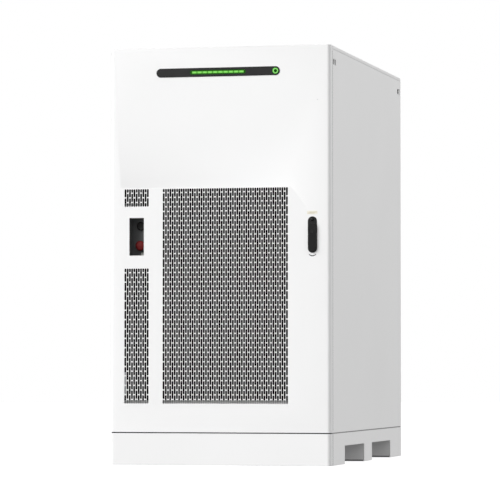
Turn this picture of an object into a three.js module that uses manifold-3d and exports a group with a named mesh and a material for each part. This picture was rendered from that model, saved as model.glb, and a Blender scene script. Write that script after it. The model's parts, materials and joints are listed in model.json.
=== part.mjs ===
// Free-standing battery cabinet: a steel enclosure on a fork-lift plinth, with a hinged front door,
// a swing handle that works two lock rods, and rack-mounted battery modules with their control box.
// Millimetres, +Z up, front towards -Y. The parts are laid out in cabinet coordinates: x from the
// left side, y from the front face of the door towards the back, z from the floor. The last group
// moves them so that the origin is the bottom centre of the whole object's box.

import * as THREE from "three";
import { mergeVertices } from "three/addons/utils/BufferGeometryUtils.js";
import Module from "manifold-3d";

const wasm = await Module();
wasm.setup();

// ---------------------------------------------------------------- driving dimensions

const width = 600;
const depth = 990; // front face of the door to the back face
const height = 1105;
const sheet = 2; // thickness of the folded steel sheet
const skin = 1.5; // thickness of the side panels, rear panel and top cover
const air = 0.3; // clearance between pieces that touch
const past = 1; // how far a cut runs past the face it opens

const plinth = {
  top: 83.5,
  flange: 30,
  setBack: 12,
  tunnels: [[180, 443], [552, 823]], // front and back of each fork tunnel
  tunnelTop: 49,
  footGap: 10,
  rearFoot: 60,
  cable: { half: 90, low: 30, high: 60 },
};
const floor = { side: 6, front: 34, cable: { half: 120, front: 860, back: 940 } };
const sill = { low: 88, high: 178, topLip: 16, bottomLip: 28 };
const seal = { left: 29.5, right: width - 17, low: 92, high: 1090, wide: 4 };
const door = { bottom: 86.5, top: height, thickness: 25, edgeRadius: 10.5, flange: 22, hingeFlange: 36 };
const body = { front: 28, postFace: 30, bottom: 86.5, panelTop: 1095.5, back: 984 };
const frame = { left: 11, right: 34, postDepth: 34, roof: 1066, roofTop: 1100, front: 64, back: 950 };

const windowCut = { x: 73, z: 604.5, width: 40, height: 100 };
const bar = { x: 295.5, z: 1038.9, width: 336.5, height: 23.7, proud: 1, back: 4, rebate: 1.5, neck: 1.8 };
const led = { x: 295.3, count: 10, pitch: 14.24, width: 12.7, height: 6.6, guide: { half: 5, thickness: 2 } };
const power = { x: 451.6, dot: 3.9, rim: 8.9 };
const windowRim = { wall: 2, back: 24 };

const handle = {
  x: 551.1,
  z: 605.7,
  width: 24.4,
  height: 95.4,
  rebate: 1.2,
  plate: 1.1,
  front: 6.5,
  back: 12,
};
const hub = { z: 626, radius: 9, spindle: 4.5, tongue: 3, eye: 1.9 };
const release = { z: 645.4, radius: 5, proud: 1.6, back: 9 };
const key = { z: 614, radius: 4, slotHalf: 0.6, slotTall: 2.6 };
const lever = { width: 22, bottom: 560, thickness: 4.7, tiltZ: 634.4, tiltY: -3.9, knuckle: 2.6, pin: 1 };
const crank = { radius: 8.5, pin: 2, plateFront: 29, plate: 2.5 };
const rod = { width: 11, offset: 1.6, front: 32, thickness: 3, top: 1058, bottom: 188, tail: 7, play: 0.6 };
const channel = {
  half: 16,
  low: 240,
  high: 1000,
  wall: 1.5,
  loops: [300, 940],
  loopTall: 14,
  gap: 60,
  step: 15,
};

const hinge = {
  x: 8,
  y: 12,
  heights: [215, 975],
  tall: 60,
  pin: 2.5,
  barrel: 4.5,
  leaf: 3,
  doorLeaf: 1.4,
  reach: 18,
  doorReach: 34,
  notch: { to: 28.8, front: 8, clear: 2 },
};

const rackUnit = 44.45;
const rack = { face: 50, faceWidth: 482.6, bodyWidth: 446, depth: 700, bottom: 182.2, plate: 3 };
const rackWall = { x: 36, front: 66, back: 946, low: 100, high: 1050 };
const ledge = { reach: 96, front: 70, back: 740 };
const rackWindow = { first: 130, pitch: 200, long: 140, low: 120, high: 165, count: 4 };
const fitting = { below: 0.4, above: 2.6 }; // free height under and over each unit in its bay
const grip = { inset: 40, half: 4, proud: 14, bar: 5, ends: 45, thick: 8 };
const control = { z: 604.5, tall: 3 * rackUnit, left: 45, right: 555, depth: 500, bore: 21 };
const start = { z: 634.5, radius: 11, front: 10, travel: 3, stem: 9, back: 14 };
const stop = { z: 582.3, radius: 13.2, front: 20, neck: 8, travel: 5, back: 12 };
const breaker = {
  x: 420,
  z: 604.5,
  width: 76,
  tall: 92,
  front: 34,
  step: 4,
  nose: { inset: 12, half: 28 },
  pocket: { half: 8, deep: 12, tall: 22 },
  toggle: { radius: 5, half: 7.5, pivot: 6, reach: 14, arm: 5, thick: 3, tilt: Math.PI / 7 },
};
const busbar = {
  x: { negative: 190, positive: 410 },
  half: 15,
  front: 19,
  back: 24,
  tab: 10,
  low: 240,
  high: 980,
};
const sideLatch = { z: 1063, tall: 15, long: 38, inset: 5, deep: 8, slider: 17, grip: { from: 7, to: 10 } };
const sidePanel = { fold: 10, cupSide: 0.1 };
const fan = {
  size: 120,
  depth: 38,
  z: 950,
  spread: 100,
  rim: 3,
  motor: 20,
  hub: 21,
  rotorFront: 5,
  rotorBack: 34,
};
const spoke = { deep: 3, wide: 5 };
const blade = { count: 7, long: 34, thick: 2, wide: 26, twist: 0.75, radius: 36, y: 21 };

// ---------------------------------------------------------------- colours

const finish = (color, roughness, metalness = 0) =>
  new THREE.MeshStandardMaterial({ color, roughness, metalness });
const white = finish(0xf2f2f2, 0.45);
const innerWhite = finish(0xe9e9e9, 0.5);
const black = finish(0x2b2b2b, 0.45);
const graphite = finish(0x3c3c3e, 0.5);
const zinc = finish(0xb9bcc0, 0.35, 1);
const copper = finish(0xb87333, 0.35, 1);
const rubber = finish(0x1d1d1d, 0.8);
const greenLight = finish(0x6fdc4a, 0.3);
const darkGreen = finish(0x145c10, 0.4);
const red = finish(0xa82020, 0.35);

// ---------------------------------------------------------------- shapes

// Box between two corners.
function block(x0, x1, y0, y1, z0, z1) {
  const geometry = new THREE.BoxGeometry(x1 - x0, y1 - y0, z1 - z0);
  return geometry.translate((x0 + x1) / 2, (y0 + y1) / 2, (z0 + z1) / 2);
}

// Round bars along each axis; the first two numbers are the centre in the other two axes.
function barX(y, z, radius, x0, x1, sides = 32) {
  const geometry = new THREE.CylinderGeometry(radius, radius, x1 - x0, sides);
  return geometry.rotateZ(Math.PI / 2).translate((x0 + x1) / 2, y, z);
}
function barY(x, z, radius, y0, y1, sides = 32) {
  return new THREE.CylinderGeometry(radius, radius, y1 - y0, sides).translate(x, (y0 + y1) / 2, z);
}
function barZ(x, y, radius, z0, z1, sides = 32) {
  const geometry = new THREE.CylinderGeometry(radius, radius, z1 - z0, sides);
  return geometry.rotateX(Math.PI / 2).translate(x, y, (z0 + z1) / 2);
}

// Stadium outline: a straight strip with round ends, along x or along z.
function stadium(x, z, wide, tall) {
  const r = Math.min(wide, tall) / 2;
  const halfX = wide / 2 - r;
  const halfZ = tall / 2 - r;
  const shape = new THREE.Shape();
  if (wide > tall) {
    shape.absarc(x + halfX, z, r, -Math.PI / 2, Math.PI / 2);
    shape.absarc(x - halfX, z, r, Math.PI / 2, (3 * Math.PI) / 2);
  } else {
    shape.absarc(x, z + halfZ, r, 0, Math.PI);
    shape.absarc(x, z - halfZ, r, Math.PI, 2 * Math.PI);
  }
  return shape;
}

// Plate with an outline in x and z, between two values of y.
function plateY(shape, y0, y1, curveSegments = 16) {
  const geometry = new THREE.ExtrudeGeometry(shape, { depth: y1 - y0, bevelEnabled: false, curveSegments });
  return geometry.rotateX(Math.PI / 2).translate(0, y1, 0);
}

// Bar with an outline in x and y, between two values of z.
function plateZ(shape, z0, z1, curveSegments = 8) {
  const geometry = new THREE.ExtrudeGeometry(shape, { depth: z1 - z0, bevelEnabled: false, curveSegments });
  return geometry.translate(0, 0, z0);
}

// ---------------------------------------------------------------- joining and cutting

function solid(geometry) {
  const bare = geometry.index ? geometry.toNonIndexed() : geometry.clone();
  bare.deleteAttribute("normal");
  bare.deleteAttribute("uv");
  const merged = mergeVertices(bare, 1e-4);
  return new wasm.Manifold(
    new wasm.Mesh({
      numProp: 3,
      vertProperties: new Float32Array(merged.attributes.position.array),
      triVerts: new Uint32Array(merged.index.array),
    }),
  );
}

function geometryOf(manifold) {
  const result = manifold.getMesh();
  const geometry = new THREE.BufferGeometry();
  geometry.setAttribute("position", new THREE.BufferAttribute(new Float32Array(result.vertProperties), 3));
  geometry.setIndex(new THREE.BufferAttribute(new Uint32Array(result.triVerts), 1));
  geometry.computeVertexNormals();
  return geometry;
}

// Joins the first list and cuts the second list out of it.
function carve(parts, cuts = []) {
  let result = solid(parts[0]);
  for (const part of parts.slice(1)) result = result.add(solid(part));
  for (const cut of cuts) result = result.subtract(solid(cut));
  return geometryOf(result);
}

const cabinet = new THREE.Group();

function piece(name, geometry, material) {
  const mesh = new THREE.Mesh(geometry, material);
  mesh.name = name;
  cabinet.add(mesh);
  return mesh;
}

// ---------------------------------------------------------------- plinth

// Outline, seen from above, of a panel whose two front edges are round; inset moves it inwards.
function frontOutline(inset, back) {
  const r = door.edgeRadius;
  const shape = new THREE.Shape();
  shape.moveTo(inset, back);
  shape.lineTo(inset, r);
  shape.absarc(r, r, r - inset, Math.PI, 1.5 * Math.PI);
  shape.absarc(width - r, r, r - inset, 1.5 * Math.PI, 2 * Math.PI);
  shape.lineTo(width - inset, back);
  return shape;
}

function makePlinth() {
  const [first, second] = plinth.tunnels;
  const feet = [
    [body.front + plinth.setBack, first[0] - plinth.footGap],
    [first[1] + plinth.footGap, second[0] - plinth.footGap],
    [second[1] + plinth.footGap, depth - plinth.setBack],
  ];

  for (const [side, left] of [["left", true], ["right", false]]) {
    const inward = (from, to) => (left ? [from, to] : [width - to, width - from]);
    const [x0, x1] = inward(0, sheet);
    const [f0, f1] = inward(sheet / 2, plinth.flange);
    const parts = [
      block(x0, x1, body.front, depth, 0, plinth.top),
      block(f0, f1, body.front + plinth.setBack, depth - plinth.setBack, plinth.top - sheet, plinth.top),
      ...feet.map(([y0, y1]) => block(f0, f1, y0, y1, 0, sheet)),
    ];
    const pockets = plinth.tunnels.map(([y0, y1]) =>
      block(x0 - past, x1 + past, y0, y1, -past, plinth.tunnelTop),
    );
    piece(`plinth_side_${side}`, carve(parts, pockets), white);
  }

  for (const [name, [y0, y1]] of [["front", first], ["rear", second]]) {
    const x0 = sheet + air;
    const x1 = width - sheet - air;
    const channel = carve(
      [block(x0, x1, y0 - sheet, y1 + sheet, 0, plinth.tunnelTop + sheet)],
      [block(x0 - past, x1 + past, y0, y1, -past, plinth.tunnelTop)],
    );
    piece(`fork_tunnel_${name}`, channel, white);
  }

  const kickPanel = carve(
    [plateZ(frontOutline(0, door.thickness), 0, plinth.top)],
    [plateZ(frontOutline(sheet, door.thickness + past), -past, plinth.top + past)],
  );
  piece("plinth_front_panel", kickPanel, white);
  const { half, low, high } = plinth.cable;
  const footFront = depth - plinth.setBack + past;
  const rearPlate = carve(
    [
      block(sheet + air, width - sheet - air, depth - sheet, depth, 0, plinth.top),
      block(plinth.rearFoot, width - plinth.rearFoot, footFront, depth - sheet / 2, 0, sheet),
    ],
    [block(width / 2 - half, width / 2 + half, footFront - past, depth + past, low, high)],
  );
  piece("plinth_rear_panel", rearPlate, white);
}

// ---------------------------------------------------------------- enclosure

function makeEnclosure() {
  const entry = floor.cable;
  const pan = carve(
    [block(floor.side, width - floor.side, floor.front, body.back, plinth.top + air, body.bottom - air)],
    [
      block(width / 2 - entry.half, width / 2 + entry.half, entry.front, entry.back, plinth.top,
        body.bottom),
    ],
  );
  piece("floor_pan", pan, innerWhite);

  for (const [end, y0, outward] of [["front", body.postFace, 1], ["rear", body.back - air, -1]]) {
    for (const [side, left] of [["left", true], ["right", false]]) {
      const x = left ? [frame.left, frame.right] : [width - frame.right, width - frame.left];
      const outerWall = left ? [x[0], x[0] + sheet] : [x[1] - sheet, x[1]];
      const y = [y0, y0 + outward * frame.postDepth].sort((a, b) => a - b);
      const face = [y0, y0 + outward * sheet].sort((a, b) => a - b);
      const post = carve([
        block(x[0], x[1], face[0], face[1], body.bottom, frame.roof - air),
        block(outerWall[0], outerWall[1], y[0], y[1], body.bottom, frame.roof - air),
      ]);
      piece(`post_${end}_${side}`, post, innerWhite);
    }
  }

  const ring = carve(
    [block(frame.left, width - frame.left, body.postFace, body.back - air, frame.roof, frame.roofTop)],
    [
      block(frame.right, width - frame.right, frame.front, frame.back, frame.roof - past,
        frame.roofTop + past),
    ],
  );
  piece("roof_frame", ring, innerWhite);

  const lip = body.panelTop + 1;
  const cover = carve(
    [block(0, width, body.front, depth, lip, height)],
    [block(skin, width - skin, body.front + skin, depth - skin, lip - past, height - skin)],
  );
  piece("top_cover", cover, white);

  const { low, high, topLip, bottomLip } = sill;
  const sillBar = (deep, z0, z1) =>
    block(frame.right + air, width - frame.right - air, body.postFace, body.postFace + deep, z0, z1);
  const sillParts = [
    sillBar(sheet, low, high),
    sillBar(topLip, high - sheet, high),
    sillBar(bottomLip, low, low + sheet),
  ];
  piece("front_sill", carve(sillParts), innerWhite);

  makeSidePanels();
  makeRearPanel();
}

// Where the recess of each side latch lies: front and rear, measured along y.
const latchStarts = [
  ["front", body.front + sideLatch.inset, 1],
  ["rear", body.back - sideLatch.inset - sideLatch.long, -1],
];

function makeSidePanels() {
  const { fold, cupSide } = sidePanel;
  const z0 = sideLatch.z - sideLatch.tall / 2;
  const z1 = sideLatch.z + sideLatch.tall / 2;
  for (const [side, left] of [["left", true], ["right", false]]) {
    const at = (from, to) => (left ? [from, to] : [width - to, width - from]);
    const trayBox = (from, to, y0, y1, low, high) => block(...at(from, to), y0, y1, low, high);
    const parts = [trayBox(0, fold, body.front, body.back, body.bottom, body.panelTop)];
    const cuts = [
      trayBox(skin, fold + past, body.front + skin, body.back - skin, body.bottom + skin,
        body.panelTop - skin),
    ];
    const cups = [];
    const hollows = [];
    for (const [, y] of latchStarts) {
      cups.push(
        trayBox(cupSide, sideLatch.deep + skin, y - skin, y + sideLatch.long + skin, z0 - skin, z1 + skin),
      );
      hollows.push(trayBox(-past, sideLatch.deep, y, y + sideLatch.long, z0, z1));
    }
    let panel = solid(parts[0]).subtract(solid(cuts[0]));
    for (const cup of cups) panel = panel.add(solid(cup));
    for (const hollow of hollows) panel = panel.subtract(solid(hollow));
    piece(`side_panel_${side}`, geometryOf(panel), white);

    for (const [end, y, direction] of latchStarts) {
      const near = direction > 0 ? y + 1 : y + sideLatch.long - 1 - sideLatch.slider;
      const { from, to } = sideLatch.grip;
      const slider = carve([
        trayBox(5, sideLatch.deep - air, near, near + sideLatch.slider, z0 + 1, z1 - 1),
        trayBox(2.5, 6, near + from, near + to, z0 + 1.5, z1 - 1.5),
      ]);
      piece(`side_latch_${end}_${side}`, slider, white);
    }
  }
}

function fanCentres() {
  return [width / 2 - fan.spread, width / 2 + fan.spread];
}

function makeRearPanel() {
  const y0 = body.back + 1;
  const bore = fan.size / 2 - fan.rim;
  const holes = fanCentres().map((x) => barY(x, fan.z, bore, y0 - past, depth + past, 40));
  const tray = carve(
    [block(0, width, y0, depth, body.bottom, body.panelTop)],
    [
      block(skin, width - skin, y0 - past, depth - skin, body.bottom + skin, body.panelTop - skin),
      ...holes,
    ],
  );
  piece("rear_panel", tray, white);
}

// ---------------------------------------------------------------- door

// Hole through the door's skin for a fitting whose rim overlaps it by its rebate.
function opening(fitted) {
  const wide = fitted.width - 2 * fitted.rebate;
  const tall = fitted.height - 2 * fitted.rebate;
  return plateY(stadium(fitted.x, fitted.z, wide, tall), -past, sheet + past);
}

function makeDoor() {
  const t = door.thickness;
  const shell = plateZ(frontOutline(0, t), door.bottom, door.top);
  const { flange, hingeFlange } = door;
  const w = windowCut;
  const cuts = [
    plateZ(frontOutline(sheet, t - sheet), door.bottom + sheet, door.top - sheet),
    block(hingeFlange, width - flange, t - sheet - past, t + past, door.bottom + flange, door.top - flange),
    block(w.x - w.width / 2, w.x + w.width / 2, -past, sheet + past, w.z - w.height / 2,
      w.z + w.height / 2),
    opening(bar),
    opening(handle),
    ...hinge.heights.map((z) => {
      const half = hinge.tall / 2 + hinge.notch.clear;
      return block(sheet, hinge.notch.to, hinge.notch.front, t + past, z - half, z + half);
    }),
  ];
  piece("door_panel", carve([shell], cuts), white);

  const { wall, back } = windowRim;
  const liner = carve(
    [
      block(w.x - w.width / 2 - wall, w.x + w.width / 2 + wall, sheet + air, back,
        w.z - w.height / 2 - wall, w.z + w.height / 2 + wall),
    ],
    [block(w.x - w.width / 2, w.x + w.width / 2, 0, back + past, w.z - w.height / 2, w.z + w.height / 2)],
  );
  piece("window_bezel", liner, black);

  const gasket = carve(
    [block(seal.left, seal.right, t + air, body.postFace - 0.5, seal.low, seal.high)],
    [
      block(seal.left + seal.wide, seal.right - seal.wide, t, body.postFace, seal.low + seal.wide,
        seal.high - seal.wide),
    ],
  );
  piece("door_gasket", gasket, rubber);
  makeLockChannel();
}

// Hat-shaped channel behind the handle, with two loops that guide the lock rods.
function makeLockChannel() {
  const { half, low, high, wall, loopTall } = channel;
  const front = sheet + air;
  const back = crank.plateFront - 1;
  const x0 = handle.x - half;
  const x1 = handle.x + half;
  const loopHalf = rod.offset + rod.width + air + wall;
  const left = handle.x - loopHalf;
  const right = handle.x + loopHalf;
  const tail = rod.front + rod.thickness + air;
  const loops = channel.loops.flatMap((z) => [
    block(left, left + wall, back - 1, tail + wall, z, z + loopTall),
    block(right - wall, right, back - 1, tail + wall, z, z + loopTall),
    block(left, right, tail, tail + wall, z, z + loopTall),
  ]);
  const hat = carve(
    [block(x0, x1, front, back, low, high), ...loops],
    [
      block(x0 + wall, x1 - wall, front - past, back - wall, low - past, high + past),
      barY(handle.x, hub.z, hub.spindle + 1, front, back + past),
      block(x0 - past, x1 + past, front - past, channel.step, handle.z - channel.gap,
        handle.z + channel.gap),
    ],
  );
  piece("lock_channel", hat, zinc);
}

function makeStatusBar() {
  const ledX = (i) => led.x + (i - (led.count - 1) / 2) * led.pitch;
  const slots = [];
  const teeth = [];
  for (let i = 0; i < led.count; i++) {
    const x = ledX(i);
    const w = led.width / 2;
    const h = led.height / 2;
    slots.push(block(x - w, x + w, -bar.proud - past, bar.back + past, bar.z - h, bar.z + h));
    teeth.push(
      block(x - w + air, x + w - air, -bar.proud + 0.2, bar.back + past, bar.z - h + air, bar.z + h - air),
    );
  }
  const inner = stadium(bar.x, bar.z, bar.width - 2 * bar.neck, bar.height - 2 * bar.neck);
  const neck = plateY(inner, -2 * air, bar.back);
  const face = plateY(stadium(bar.x, bar.z, bar.width, bar.height), -bar.proud, -air);
  const hole = barY(power.x, bar.z, power.rim + air, -bar.proud - past, bar.back + past, 40);
  piece("status_bar_bezel", carve([face, neck], [...slots, hole]), black);

  const { half, thickness } = led.guide;
  const span = [ledX(0) - led.width / 2 - 2, ledX(led.count - 1) + led.width / 2 + 2];
  const guideFront = bar.back + air;
  const guide = carve([
    block(span[0], span[1], guideFront, guideFront + thickness, bar.z - half, bar.z + half),
    ...teeth,
  ]);
  piece("led_light_guide", guide, greenLight);

  const ring = carve(
    [barY(power.x, bar.z, power.rim, -bar.proud - 0.4, bar.back, 40)],
    [barY(power.x, bar.z, power.dot + air, -bar.proud - 2, bar.back + past, 32)],
  );
  piece("power_button_ring", ring, greenLight);
  piece("power_button", barY(power.x, bar.z, power.dot, -bar.proud - 0.2, bar.back + 2), darkGreen);
}

// ---------------------------------------------------------------- swing handle and lock

function makeHandle() {
  const { x, back } = handle;
  const neck = stadium(x, handle.z, handle.width - 3, handle.height - 3);
  const base = carve(
    [
      plateY(stadium(x, handle.z, handle.width, handle.height), -handle.plate, -air),
      plateY(neck, -2 * air, back),
    ],
    [
      barY(x, hub.z, hub.radius + air, -handle.plate - past, back + past),
      barY(x, release.z, release.radius + air, -handle.plate - past, back + past),
    ],
  );
  piece("handle_base", base, black);
  const button = barY(x, release.z, release.radius, -handle.plate - release.proud, release.back);
  piece("release_button", button, black);

  // The hub turns in the base and carries the lever on a short tongue.
  const hubParts = [
    barY(x, hub.z, hub.radius, -handle.plate + 0.1, back),
    barY(x, hub.z, hub.spindle, back - 1, crank.plateFront + crank.plate),
    block(x - hub.tongue, x + hub.tongue, lever.tiltY - 1.6, 0, lever.tiltZ - 6, lever.tiltZ),
    barX(lever.tiltY, lever.tiltZ, hub.eye, x - hub.tongue, x + hub.tongue, 24),
  ];
  const tongueEnd = hub.tongue + past;
  const tongueHole = barX(lever.tiltY, lever.tiltZ, lever.pin + air, x - tongueEnd, x + tongueEnd, 16);
  piece("handle_hub", carve(hubParts, [tongueHole]), black);

  makeLever(x);
  makeLock(x);
}

// The lever is the overlap of its front outline and its side profile, rounded about the tilt pin.
function makeLever(x) {
  const front = -handle.front;
  const back = front + lever.thickness;
  const top = lever.tiltZ + lever.knuckle;
  const tall = top - lever.bottom;
  const outline = plateY(stadium(x, lever.bottom + tall / 2, lever.width, tall), front, back);
  const shank = block(x - lever.width, x + lever.width, front, back, lever.bottom - 1, lever.tiltZ);
  const end = barX(lever.tiltY, lever.tiltZ, lever.knuckle, x - lever.width, x + lever.width, 32);
  const slotHalf = hub.tongue + 0.4;
  const slotFront = lever.tiltY - hub.eye - air;
  const slot = block(x - slotHalf, x + slotHalf, slotFront, back + past, lever.tiltZ - 9, top + past);
  const keyBack = back - 1.2;
  const keyHole = barY(x, key.z, key.radius + air, front - past, keyBack);
  const pin = barX(lever.tiltY, lever.tiltZ, lever.pin, x - slotHalf - 0.2, x + slotHalf + 0.2, 16);
  const profile = solid(shank).add(solid(end));
  const shape = solid(outline).intersect(profile).subtract(solid(slot)).subtract(solid(keyHole));
  piece("handle_lever", geometryOf(shape.add(solid(pin))), black);

  const keyway = block(x - key.slotHalf, x + key.slotHalf, front - past, front + 2,
    key.z - key.slotTall, key.z + key.slotTall);
  piece("key_cylinder", carve([barY(x, key.z, key.radius, front, keyBack - air)], [keyway]), graphite);
}

function makeLock(x) {
  const y0 = crank.plateFront;
  const y1 = y0 + crank.plate;
  const reach = crank.radius * Math.SQRT1_2;
  const pinEnd = rod.front + rod.thickness + 1;
  const cam = carve(
    [
      barY(x, hub.z, crank.radius + crank.pin + 1, y0, y1),
      barY(x + reach, hub.z + reach, crank.pin, y1 - 1, pinEnd, 20),
      barY(x - reach, hub.z - reach, crank.pin, y1 - 1, pinEnd, 20),
    ],
    [barY(x, hub.z, hub.spindle + air, y0 - 1, y1 + 1)],
  );
  piece("lock_cam", cam, zinc);

  const slotFrom = reach - crank.pin - rod.play;
  const slotTo = crank.radius + crank.pin + rod.play;
  const slotHalf = crank.pin + rod.play;
  for (const [name, sign] of [["upper", 1], ["lower", -1]]) {
    const across = [x + sign * rod.offset, x + sign * (rod.offset + rod.width)].sort((a, b) => a - b);
    const pinZ = hub.z + sign * reach;
    const far = sign > 0 ? rod.top : rod.bottom;
    const along = [pinZ - sign * rod.tail, far].sort((a, b) => a - b);
    const slotX = [x + sign * slotFrom, x + sign * slotTo].sort((a, b) => a - b);
    const strip = carve(
      [block(across[0], across[1], rod.front, rod.front + rod.thickness, along[0], along[1])],
      [
        block(slotX[0], slotX[1], rod.front - past, rod.front + rod.thickness + past, pinZ - slotHalf,
          pinZ + slotHalf),
      ],
    );
    piece(`lock_rod_${name}`, strip, zinc);
  }
}

// ---------------------------------------------------------------- door hinges

// The fixed leaf reaches round the folded edge of the door, the door leaf lies inside its skin,
// and the pin joins their three knuckles.
function makeHinges() {
  hinge.heights.forEach((z, index) => {
    const name = index ? "upper" : "lower";
    const { x, y, barrel, reach, doorReach, doorLeaf } = hinge;
    const half = hinge.tall / 2;
    const middle = half / 3 + 4;
    const leafHalf = hinge.leaf / 2;
    const bend = [x + reach - leafHalf, x + reach + leafHalf];
    const postFront = body.postFace - air;
    const hole = barZ(x, y, hinge.pin + 0.1, z - half - past, z + half + past, 24);
    const fixed = carve(
      [
        barZ(x, y, barrel, z - middle, z + middle, 24),
        block(x, bend[1], y - leafHalf, y + leafHalf, z - middle, z + middle),
        block(bend[0], bend[1], y - leafHalf, postFront, z - middle, z + middle),
        block(frame.left + 1, bend[1], postFront - 2, postFront, z - half, z + half),
      ],
      [hole],
    );
    piece(`hinge_fixed_leaf_${name}`, fixed, zinc);

    const leafBack = sheet + 2 * doorLeaf;
    const doorParts = [
      block(x + 3, x + doorReach, sheet + air, leafBack, z - half, z + half),
      block(x - 1, x + 4, sheet + doorLeaf, leafBack, z - half, z + half),
    ];
    for (const [low, high] of [[z - half, z - middle - air], [z + middle + air, z + half]]) {
      doorParts.push(barZ(x, y, barrel, low, high, 24));
      doorParts.push(block(x - 1, x + 2, sheet + doorLeaf, y, low, high));
    }
    piece(`hinge_door_leaf_${name}`, carve(doorParts, [hole]), zinc);
    piece(`hinge_pin_${name}`, barZ(x, y, hinge.pin, z - half - 1, z + half + 1, 24), zinc);
  });
}

// ---------------------------------------------------------------- rack, modules and control box

const moduleTall = 4 * rackUnit;
const controlBottom = control.z - control.tall / 2;
const controlTop = control.z + control.tall / 2;
const bays = [rack.bottom, rack.bottom + moduleTall, controlTop, controlTop + moduleTall];

function makeRack() {
  for (const [side, left] of [["left", true], ["right", false]]) {
    const at = (from, to) => (left ? [from, to] : [width - to, width - from]);
    const { x, front, back, low, high } = rackWall;
    const wall = block(...at(x, x + sheet), front, back, low, high);
    const ledges = [...bays, controlBottom].map((z) =>
      block(...at(x + sheet / 2, ledge.reach), ledge.front, ledge.back, z - air - sheet, z - air),
    );
    const windows = [...Array(rackWindow.count).keys()].map((k) => {
      const y = rackWindow.first + k * rackWindow.pitch;
      const across = at(x - past, x + sheet + past);
      return block(...across, y, y + rackWindow.long, rackWindow.low, rackWindow.high);
    });
    piece(`rack_side_${side}`, carve([wall, ...ledges], windows), innerWhite);
  }

  bays.forEach((z, index) => {
    const half = rack.faceWidth / 2;
    const core = rack.bodyWidth / 2;
    const middle = width / 2;
    const z0 = z + fitting.below;
    const z1 = z + moduleTall - fitting.above;
    const grips = [-1, 1].map((sign) => middle + sign * (half - grip.inset));
    const [low, high] = [z0 + grip.ends, z1 - grip.ends];
    const parts = [
      block(middle - half, middle + half, rack.face, rack.face + rack.plate, z0, z1),
      block(middle - core, middle + core, rack.face + 2, rack.face + rack.depth, z0, z1),
      ...grips.map((x) =>
        block(x - grip.half, x + grip.half, rack.face - grip.proud, rack.face + 1, low, high),
      ),
    ];
    const barBack = rack.face - grip.proud + grip.bar;
    const gaps = grips.map((x) =>
      block(x - grip.half - past, x + grip.half + past, barBack, rack.face - 0.01, low + grip.thick,
        high - grip.thick),
    );
    piece(`battery_module_${index + 1}`, carve(parts, gaps), black);
  });
}

function makeControlBox() {
  const { left, right } = control;
  const z0 = controlBottom + fitting.below;
  const z1 = controlTop - fitting.above;
  const face = rack.face;
  const bores = [
    barY(windowCut.x, start.z, start.stem + air, face - past, face + control.bore),
    barY(windowCut.x, stop.z, stop.neck + air, face - past, face + control.bore),
  ];
  const box = carve([block(left, right, face, face + control.depth, z0, z1)], bores);
  piece("control_box", box, graphite);

  const startButton = carve([
    barY(windowCut.x, start.z, start.radius, face - start.front, face - start.travel - 1, 32),
    barY(windowCut.x, start.z, start.stem, face - start.front + 1, face + start.back, 32),
  ]);
  piece("start_button", startButton, black);

  const stopButton = carve([
    barY(windowCut.x, stop.z, stop.radius, face - stop.front, face - stop.travel - 6, 32),
    barY(windowCut.x, stop.z, stop.neck, face - stop.back, face + stop.back, 32),
  ]);
  piece("emergency_stop", stopButton, red);

  const { x, z, front, nose, pocket, toggle } = breaker;
  const wide = breaker.width / 2;
  const tall = breaker.tall / 2;
  const casing = carve(
    [
      block(x - wide, x + wide, front + breaker.step, face - air, z - tall, z + tall),
      block(x - wide + nose.inset, x + wide - nose.inset, front, face - air, z - nose.half, z + nose.half),
    ],
    [
      block(x - pocket.half, x + pocket.half, front - past, front + pocket.deep, z - pocket.tall,
        z + pocket.tall),
    ],
  );
  piece("main_breaker", casing, graphite);

  const pivotY = front + toggle.pivot;
  const arm = carve([
    barX(pivotY, z, toggle.radius, x - toggle.half, x + toggle.half, 28),
    block(x - toggle.arm, x + toggle.arm, pivotY - toggle.reach, pivotY, z - toggle.thick, z + toggle.thick),
  ]);
  const lift = new THREE.Matrix4()
    .makeTranslation(0, pivotY, z)
    .multiply(new THREE.Matrix4().makeRotationX(-toggle.tilt))
    .multiply(new THREE.Matrix4().makeTranslation(0, -pivotY, -z));
  piece("breaker_toggle", arm.applyMatrix4(lift), black);
}

function makeBusbars() {
  const back = rack.face + rack.depth;
  for (const [name, x] of Object.entries(busbar.x)) {
    const x0 = x - busbar.half;
    const x1 = x + busbar.half;
    const tabs = bays.map((z) => {
      const middle = z + moduleTall / 2;
      return block(x0, x1, back + air, back + busbar.back, middle - busbar.tab, middle + busbar.tab);
    });
    const upright = block(x0, x1, back + busbar.front, back + busbar.back, busbar.low, busbar.high);
    piece(`busbar_${name}`, carve([upright, ...tabs]), copper);
  }
}

// ---------------------------------------------------------------- rear fans

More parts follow.
